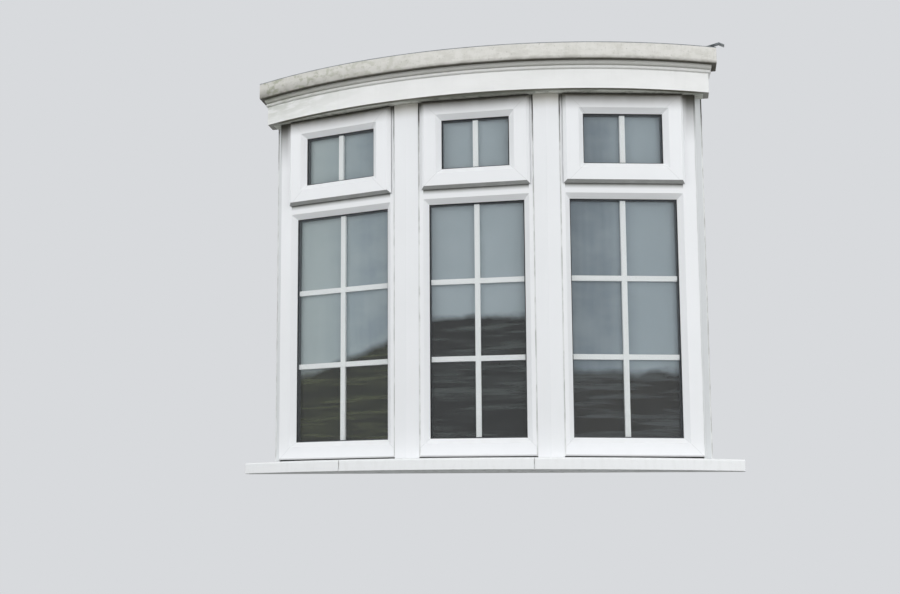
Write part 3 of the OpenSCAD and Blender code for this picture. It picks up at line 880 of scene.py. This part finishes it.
@dataclass(frozen=True)
class WeatheredEdge(Finish):
    """Old masonry paint on the roof's edge board: chalky, mottled grey, with lichen towards the left."""

    title: ClassVar[str] = "weathered_masonry_paint_on_roof_edge"
    base: str = "E0DED9"
    rough: Span = (0.62, 0.85)
    relief_mm: float = 0.6
    bump: float = 0.7
    left: Coat = Coat("CCCAC3", Fade(X, -0.1, -0.8, least=0.1), 0.7)
    mottle: Coat = Coat("CCCAC3", patches(38, 30, 22, 0.40, 0.66, 6), 0.6)
    runs: Coat = Coat("CCCAC3", patches(11, 30, 80, 0.5, 0.72), 0.35)
    crust: Coat = Coat("A9AC98", patches(26, 24, 20, 0.50, 0.62, 6) * left.pattern, 0.8)
    spots: Coat = Coat("8A8B83", patches(7, 7, 6, 0.62, 0.70, 3), 0.35)
    # The foot of the board is painted dark: the shade of its overhang, with dirt where drips gather.
    foot: float = 1.362
    drip_reach: float = 0.016
    drip_power: float = 1.4
    long_reach: float = 0.0384
    drip_mottle: Pattern = Fade(mottle.pattern, least=0.62, most=0.8)
    # Faces that look down, painted dark: shade.
    below: Coat = Coat("524F45", UNDERSIDES)

    def look(self) -> Look:
        """Mottled paint with a crust towards the left; its foot and underside painted dark as shade, the foot
        with dirt from drips too.

        Returns:
            The look, with the crust's relief.
        """
        drip = Fade(Z, self.foot + self.drip_reach, self.foot, self.drip_power)
        long_drip_and_shade = Fade(Z, self.foot + self.long_reach, self.foot) * self.left.pattern
        foot = Coat(self.below.colour, (drip | long_drip_and_shade) * self.drip_mottle)
        coats = [self.left, self.mottle, self.runs, self.crust, self.spots, foot, self.below]
        return Look(coats, self.mottle.pattern, self.mottle.pattern + self.crust.pattern)


@dataclass(frozen=True)
class SoffitPaint(Finish):
    """The canopy's underside: green-grey paint gone matt in the damp, with darker mould spots."""

    title: ClassVar[str] = "green_grey_matt_paint_on_soffit"
    base: str = "96988D"
    rough: Span = (0.7, 0.9)
    relief_mm: float = 0.4
    mould: Coat = Coat("6F7166", patches(30, 30, 30, 0.48, 0.70, 6), 0.5)
    bare: Coat = Coat("BDBEB6", patches(70, 25, 25, 0.55, 0.75), 0.5)
    # Joints with the frames, found by ambient occlusion and darkened: painted shade.
    joint: Coat = Coat("34352F", corners(8, 0.10, 0.42))
    # Paler towards the back: painted light, making up for the little light deep under the canopy.
    inner: str = "F6F7F0"
    inner_fade: Span = (0.010, 0.038)
    front: float = 1.0

    def look(self) -> Look:
        """Painted light inwards, raised mould, bare patches and painted shade at the joints."""
        inner = Coat(self.inner, Fade(Y, *(self.front - depth for depth in self.inner_fade)))
        return Look([inner, self.mould, self.bare, self.joint], self.mould.pattern, self.mould.pattern)


@dataclass(frozen=True)
class SawnPine(Finish):
    """Sawn softwood of the head board, the wall plate and the ribs: growth rings and fine fibres along it."""

    title: ClassVar[str] = "sawn_pine"
    base: str = "C4B292"
    rings: Coat = Coat("9C8565", Fade(GrowthRings(), 0.55, 0.98), 0.75)
    fibres: Coat = Coat("AE9979", patches(60, 0.9, 0.9, 0.35, 0.75, 3), 0.4)
    stains: Coat = Coat("7D7566", patches(150, 150, 150, 0.45, 0.8), 0.35)
    rough: Span = (0.62, 0.82)
    relief_mm: float = 0.3

    def look(self) -> Look:
        """Rings, raised fibres and stains here and there."""
        return Look([self.rings, self.fibres, self.stains], self.fibres.pattern, self.fibres.pattern)


@dataclass(frozen=True)
class MilledLead(Finish):
    """Milled sheet lead, dressed by hand: dull blue-grey, with white bloom and runs down the fall."""

    title: ClassVar[str] = "milled_sheet_lead_dressed_by_hand"
    constants: ClassVar[Mapping[str, float]] = {"Metallic": 0.55}
    base: str = "8B9095"
    bloom: Coat = Coat("BDC0C0", patches(60, 90, 40, 0.42, 0.68, 5), 0.6)
    runs: Coat = Coat("BDC0C0", patches(12, 140, 60, 0.5, 0.72, 3), 0.35)
    dark: Coat = Coat("5E6265", patches(25, 25, 25, 0.58, 0.75), 0.45)
    dents: Pattern = patches(28, 28, 28, 0.2, 0.8, 2)
    rough: Span = (0.5, 0.75)
    relief_mm: float = 1.2
    bump: float = 0.6

    def look(self) -> Look:
        """Duller bloom, runs and dark patches on the dented sheet."""
        return Look([self.bloom, self.runs, self.dark], self.bloom.pattern, self.dents)


@dataclass(frozen=True)
class StudioFloor(Finish):
    """Pale matt floor, which glows as the backdrop does far from the window, so that no edge shows."""

    title: ClassVar[str] = "pale_studio_floor"
    base: str = "D2D4D7"
    rough: Span = (0.9, 0.9)
    grain: Coat = Coat("CDCFD1", patches(400, 400, 400, 0.2, 0.8, 2), 0.15)
    bounced: Coat = Coat("6E6F6A", Ray("Is Diffuse Ray"))
    glow: str = "D8DADD"
    far: Pattern = Fade(Reach(), 2.5, 7.0) * SIGHT

    def look(self) -> Look:
        """A faint grain, and less light thrown back on the window."""
        return Look([self.grain, self.bounced], self.grain.pattern)

    def shader(self, canvas: Canvas) -> Socket:
        """Fades the floor into the backdrop.

        Args:
            canvas: Gets the nodes.

        Returns:
            The mixed shader's output.
        """
        glow = add_node(canvas.tree, "Emission", {"Color": linear(self.glow), "Strength": 1.0})
        mix = {0: canvas.draw(self.far), 1: super().shader(canvas), 2: glow}
        return add_node(canvas.tree, "MixShader", mix)


def dress(node: str, finish: Finish, suffix: str = "") -> None:
    """Gives a node of the frame the material of a finish.

    Args:
        node: Name of the node.
        finish: The finish to make.
        suffix: Word that tells copies of one finish apart.
    """
    made = finish.material(suffix)
    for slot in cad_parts[node].material_slots:
        slot.material = made
    LOG.info("%s: %s", node, made.name)


def settle(piece: bpy.types.Object, replaced: Sequence[str] = ()) -> None:
    """Puts a new piece in the scene, fastens it to the body and hides the nodes that it stands for.

    Args:
        piece: The new object, in place.
        replaced: Nodes of the frame that it stands for.
    """
    bpy.context.scene.collection.objects.link(piece)
    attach(piece, BODY)
    if replaced:
        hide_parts(*replaced)
    LOG.info("%s: %d faces", piece.name, len(piece.data.polygons))


# Painted reflections on each light's inner panes: sky above, dark surroundings below.
GLASS_BY_SIDE: Mapping[Side, DimFloat] = {
    Side.LEFT: DimFloat(
        base="B2BEC1", far="97A5AF", haze="BFC9CB", span=(-0.58, -0.4), shade="181B12", dusk="4C5138",
        horizon=0.545, tilt=0.3,
    ),
    Side.MIDDLE: DimFloat(),
    Side.RIGHT: DimFloat(
        base="7F8B95", far="A5B1B9", haze="A9B4BB", span=(0.42, 0.54), shade="1C1B18", dusk="53585A",
        horizon=0.335,
    ),
}


@dataclass
class WindowLight:
    """One light of the bow: its frame, transom, sash, seals, two sealed units, bars, beads and handle."""

    side: Side
    angle: float = math.radians(15)
    wall_inset: float = 5 * MM
    # Height span and share of the darkening along a frame's foot.
    splash_span: Span = (7 * MM, 1 * MM)
    splash_cover: float = 0.55
    # Reach of the painted shade with dirt under the canopy, on the right light.
    right_eaves_shade_reach: float = 67 * MM
    trim_white: str = "E4E6E7"
    place: Place = field(init=False)
    depth: float = field(init=False)

    def __post_init__(self) -> None:
        """Works out the light's local frame from its outer frame's box."""
        low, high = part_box(f"{self.side.word}_frame")
        middle_low, middle_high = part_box("middle_frame")
        turn = self.side.value * self.angle
        self.depth = middle_high.y - middle_low.y
        centre = (low + high) / 2
        foot = Vector((centre.x, centre.y, low.z))
        outwards = Vector((math.sin(turn), -math.cos(turn), 0))
        self.place = Place(foot + outwards * (self.depth / 2), turn)

    def node(self, part: str) -> str:
        """Name of one of the light's nodes."""
        return f"{self.side.word}_{part}"

    def ring_box(self, part: str) -> Triple:
        """Half width, foot and head of a mitred ring in the light's frame.

        Args:
            part: The ring's name, frame or sash.

        Returns:
            Half width and the local heights of its lower and upper edge.
        """
        low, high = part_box(self.node(part))
        thick = abs(math.sin(self.place.turn)) * self.depth
        width = (high.x - low.x - thick) / math.cos(self.place.turn)
        return width / 2, low.z - self.place.foot.z, high.z - self.place.foot.z

    def dress(self) -> None:
        """Gives every node of the light its finish."""
        frame_ring, sash_ring = self.ring_box("frame"), self.ring_box("sash")
        wall_edge = self.side.value * (frame_ring[0] - self.wall_inset) if self.side.value else None
        pvc = ExtrudedPvc(self.place)
        # Darker along the frame's foot, where it meets the sill.
        splash = Coat(pvc.grime_and_shade, Fade(Z, *self.splash_span), self.splash_cover)
        # On the right light, the painted shade with dirt under the canopy reaches further down.
        if self.side is Side.RIGHT:
            pvc = replace(pvc, wash=replace(pvc.wash, reach=self.right_eaves_shade_reach))
        finishes: dict[str, Finish] = {
            "frame": replace(pvc, weld_box=frame_ring, wall_edge=wall_edge, splash=splash),
            "sash": replace(pvc, weld_box=sash_ring),
            "transom": ExtrudedPvc(self.place, drip_foot=sash_ring[1]),
            "beads": ExtrudedPvc(self.place, indoors=True),
        }
        if wall_edge is not None:
            finishes["jamb_trim"] = PostPvc(self.place, self.trim_white, wall_edge=wall_edge)
        for part, finish in finishes.items():
            dress(self.node(part), finish, f"_{self.side.word}_{part}")
        dress(self.node("gaskets"), SealRubber())
        dress(self.node("spacers"), SpacerBar())
        dress(self.node("glazing_bars"), BarPaint())
        dress(self.node("handle"), HandleCoat())

    def build_panes(self, part: str) -> None:
        """Makes the two panes of a sealed unit, the outer one clear and the inner one dim, with a painted
        reflection.

        Args:
            part: Name of the unit, fixed_glass or fan_glass.
        """
        node = self.node(part)
        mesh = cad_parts[node].data.copy()
        mesh.name = f"{node}_panes"
        mesh.materials.clear()
        mesh.materials.append(ClearFloat().material(f"_{node}"))
        mesh.materials.append(GLASS_BY_SIDE[self.side].material(f"_{node}"))
        inwards = Vector((-math.sin(self.place.turn), math.cos(self.place.turn), 0))
        depths = [inwards.dot(face.center - self.place.foot) for face in mesh.polygons]
        middle = (min(depths) + max(depths)) / 2
        for face, depth in zip(mesh.polygons, depths):
            face.material_index = int(depth > middle)
        settle(bpy.data.objects.new(f"{node}_panes", mesh), [node])

    def build(self) -> None:
        """Builds and dresses the whole light."""
        self.dress()
        self.build_panes("fixed_glass")
        self.build_panes("fan_glass")


@dataclass
class SealantBeads:
    """Hand-run beads of sealant along the upright joints of post covers and wall trims."""

    lights: Sequence[WindowLight]
    cover_lap: float = 27 * MM
    width: float = 4.2 * MM
    rise: float = 2.7 * MM
    trim_back: float = 4 * MM
    top_gap: float = 0.5 * MM
    steps: int = 4
    pitch: float = 31 * MM
    # Waves of the width: share, turn from ring to ring and turn per metre along the window.
    swells: Sequence[Triple] = ((0.10, 1.9, 40.0), (0.06, 0.53, 0.0))

    def section(self, toward: Vector, outward: Vector, swell: float) -> list[Vector]:
        """Points of the bead's hollow face and of the corner that it fills.

        Args:
            toward: Direction along the face that the bead lies on.
            outward: Direction up the edge that it seals.
            swell: Factor on its width where the bead is fuller or thinner.

        Returns:
            Offsets from the corner, the corner itself last.
        """
        points = []
        for step in range(self.steps + 1):
            turn = math.pi / 2 * step / self.steps
            along = self.width * swell * (1 - math.sin(turn))
            points.append(toward * along + outward * (self.rise * (1 - math.cos(turn))))
        return points + [Vector()]

    def add_bead(
        self, build: bmesh.types.BMesh, foot: Vector, toward: Vector, outward: Vector, top: float
    ) -> None:
        """Adds one upright bead to the mesh.

        Args:
            build: Gets the bead.
            foot: Lower end of the corner that it fills.
            toward: Direction along the face that it lies on.
            outward: Direction up the edge that it seals.
            top: Height of its upper end.
        """
        count = max(2, round((top - foot.z) / self.pitch))
        rings = []
        for index in range(count + 1):
            z = foot.z + (top - foot.z) * index / count
            swell = 1 + sum(share * math.sin(a * index + b * foot.x) for share, a, b in self.swells)
            spots = self.section(toward, outward, swell)
            rings.append([build.verts.new((foot.x + p.x, foot.y + p.y, z)) for p in spots])
        size = len(rings[0])
        for low, high in zip(rings, rings[1:]):
            for a in range(size):
                b = (a + 1) % size
                build.faces.new((low[a], low[b], high[b], high[a]))
        build.faces.new(rings[0][::-1])
        build.faces.new(rings[-1])

    def build(self) -> None:
        """Builds the beads of all lights as one piece and dresses it."""
        build = bmesh.new()
        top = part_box("canopy_soffit")[0].z - self.top_gap
        for light in self.lights:
            place, half = light.place, light.ring_box("frame")[0]
            along = place.point(1, 0, 0) - place.foot
            outward = place.point(0, -1, 0) - place.foot
            for end in (-1, 1):
                if light.side.value * end == 1:
                    foot = place.point(end * half, self.trim_back, 0)
                    self.add_bead(build, foot, along * end, outward, top)
                else:
                    foot = place.point(end * (half - self.cover_lap), 0, 0)
                    self.add_bead(build, foot, along * -end, outward, top)
        for word, end in (("left", -1), ("right", 1)):
            low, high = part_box(f"{word}_jamb_trim")
            edge = high.x if end == 1 else low.x
            self.add_bead(build, Vector((edge, 0, low.z)), Vector((end, 0, 0)), Vector((0, -1, 0)), top)
        bmesh.ops.recalc_face_normals(build, faces=build.faces)
        mesh = bpy.data.meshes.new("sealant_beads")
        build.to_mesh(mesh)
        build.free()
        mesh.materials.append(SealantBead().material())
        settle(bpy.data.objects.new("sealant_beads", mesh))


@dataclass
class Surround:
    """What holds the lights together: posts, covers, sill, inner boards and canopy."""

    bow: Bow
    bead_grime_and_shade_share: float = 0.25
    bead_drip: float = 0.58

    def build(self) -> None:
        """Dresses each piece of the surround."""
        for word in ("left", "right"):
            dress(f"{word}_bay_post", PostPvc(indoors=True), f"_{word}_bay_post")
            dress(f"{word}_post_cover", PostPvc(), f"_{word}_post_cover")
        for side in Side:
            dress(f"sill_{side.word}", SillPaint(self.bow), f"_{side.word}")
        dress("window_board", PostPvc(indoors=True), "_window_board")
        dress("head_board", SawnPine(), "_head_board")
        paint = CanopyPaint(self.bow, top=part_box("canopy_fascia")[1].z)
        dress("canopy_fascia", paint, "_fascia")
        # The bead gets less painted shade in its corners and below, and a painted shadow with dirt at its
        # top.
        dress("canopy_bead", replace(paint, grime_and_shade_share=self.bead_grime_and_shade_share, drip=self.bead_drip), "_bead")
        dress("canopy_edge", WeatheredEdge(self.bow, foot=paint.top))
        soffit_front = self.bow.centre_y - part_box("canopy_soffit")[0].y
        dress("canopy_soffit", SoffitPaint(self.bow, front=soffit_front))
        dress("canopy_framing", SawnPine(), "_canopy_framing")
        dress("canopy_roof", MilledLead(self.bow), "_roof")
        dress("wall_flashing", MilledLead(self.bow), "_upstand")
        dress("flashing_apron", MilledLead(self.bow), "_apron")


@dataclass(frozen=True)
class SoftLamp:
    """One square soft lamp: its name, place, side length and power."""

    name: str
    at: Triple
    size: float
    watts: float

    def hang(self, target: Vector) -> None:
        """Hangs the lamp so that it looks at a target. Nothing shows or mirrors the lamp itself.

        Args:
            target: The point that it looks at.
        """
        light = bpy.data.lights.new(self.name, "AREA")
        light.size = self.size
        light.energy = self.watts
        lamp = bpy.data.objects.new(self.name, light)
        lamp.visible_camera = lamp.visible_glossy = lamp.visible_transmission = False
        lamp.location = self.at
        lamp.rotation_mode = "QUATERNION"
        lamp.rotation_quaternion = (target - Vector(self.at)).to_track_quat("-Z", "Y")
        bpy.context.scene.collection.objects.link(lamp)


@dataclass
class Studio:
    """Plain pale floor, soft lamps and the camera at the photograph's angle."""

    camera_at: Triple = (0.575, -4.533, -0.215)
    yaw: float = math.radians(14.35)
    pitch: float = math.radians(7.5)
    roll: float = math.radians(0.33)
    sensor_mm: float = 36.0
    lens_mm: float = 52.0
    shift: tuple[float, float] = (0.141, 0.067)
    lamps: tuple[SoftLamp, ...] = (
        SoftLamp("key_softbox", (-4.0, -4.2, 3.4), 3.2, 80),
        SoftLamp("fill_softbox", (4.2, -3.6, 1.6), 3.0, 70),
        SoftLamp("back_softbox", (0.5, 4.2, 2.6), 2.6, 60),
    )
    lamp_target: Triple = (0, -0.1, 0.7)
    floor_z: float = -0.87
    floor_half: float = 14.0
    floor_cells: int = 8
    backdrop: str = "D8DADD"
    backdrop_level: Pattern = Fade(Ray("Is Glossy Ray"), least=1.0, most=0.55)
    seen: Pattern = SIGHT * Reckoned("LESS_THAN", Ray("Diffuse Depth"), 0.5)
    sky: str = "F6F8FA"
    sky_level: Pattern = Fade(Z, 0.0, 0.9, least=1.38, most=0.79)

    def build_camera(self) -> None:
        """Places the camera where the photograph was taken from, with its lens drawn in on the window."""
        lens = bpy.data.cameras.new("photo_camera")
        lens.sensor_width = self.sensor_mm
        lens.lens = self.lens_mm
        lens.shift_x, lens.shift_y = self.shift
        camera = bpy.data.objects.new("photo_camera", lens)
        camera.location = self.camera_at
        camera.rotation_mode = "QUATERNION"
        level = Euler((math.pi / 2 + self.pitch, 0, self.yaw)).to_quaternion()
        camera.rotation_quaternion = level @ Quaternion((0, 0, 1), self.roll)
        bpy.context.scene.collection.objects.link(camera)
        bpy.context.scene.camera = camera

    def build_world(self) -> None:
        """Lights the scene with an even pale sky and shows the plain backdrop to the camera.

        Light off a matt face is lit by the sky, also where it then passes a pane.
        """
        world = bpy.data.worlds.new("studio")
        bpy.context.scene.world = world
        world.use_nodes = True
        tree = world.node_tree
        tree.nodes.clear()
        canvas = Canvas(tree, add_node(tree, "TexCoord", out=0))
        lit = {"Color": linear(self.sky), "Strength": canvas.draw(self.sky_level)}
        shown = {"Color": linear(self.backdrop), "Strength": canvas.draw(self.backdrop_level)}
        sky, backdrop = (add_node(tree, "Background", inputs) for inputs in (lit, shown))
        mixed = add_node(tree, "MixShader", {0: canvas.draw(self.seen), 1: sky, 2: backdrop})
        add_node(tree, "OutputWorld", {"Surface": mixed})

    def build_floor(self) -> None:
        """Lays the pale floor, which fades into the backdrop far from the window."""
        mesh = bpy.data.meshes.new("studio_floor")
        build = bmesh.new()
        cells = self.floor_cells
        bmesh.ops.create_grid(build, x_segments=cells, y_segments=cells, size=self.floor_half)
        build.to_mesh(mesh)
        build.free()
        floor = bpy.data.objects.new("studio_floor", mesh)
        floor.location = (0, 0, self.floor_z)
        bpy.context.scene.collection.objects.link(floor)
        mesh.materials.append(StudioFloor(glow=self.backdrop).material())

    def build(self) -> None:
        """Sets up the view transform, camera, world, floor and lamps."""
        bpy.context.scene.view_settings.view_transform = "Standard"
        self.build_camera()
        self.build_world()
        self.build_floor()
        for lamp in self.lamps:
            lamp.hang(Vector(self.lamp_target))


def main() -> None:
    """Builds the studio, the three lights, the sealant and the surround, in that order."""
    logging.basicConfig(level=logging.INFO, format="%(name)s %(message)s")
    Studio().build()
    lights = [WindowLight(side) for side in Side]
    for light in lights:
        light.build()
    SealantBeads(lights).build()
    Surround(Bow.of_frame()).build()


if __name__ == "__main__":
    main()
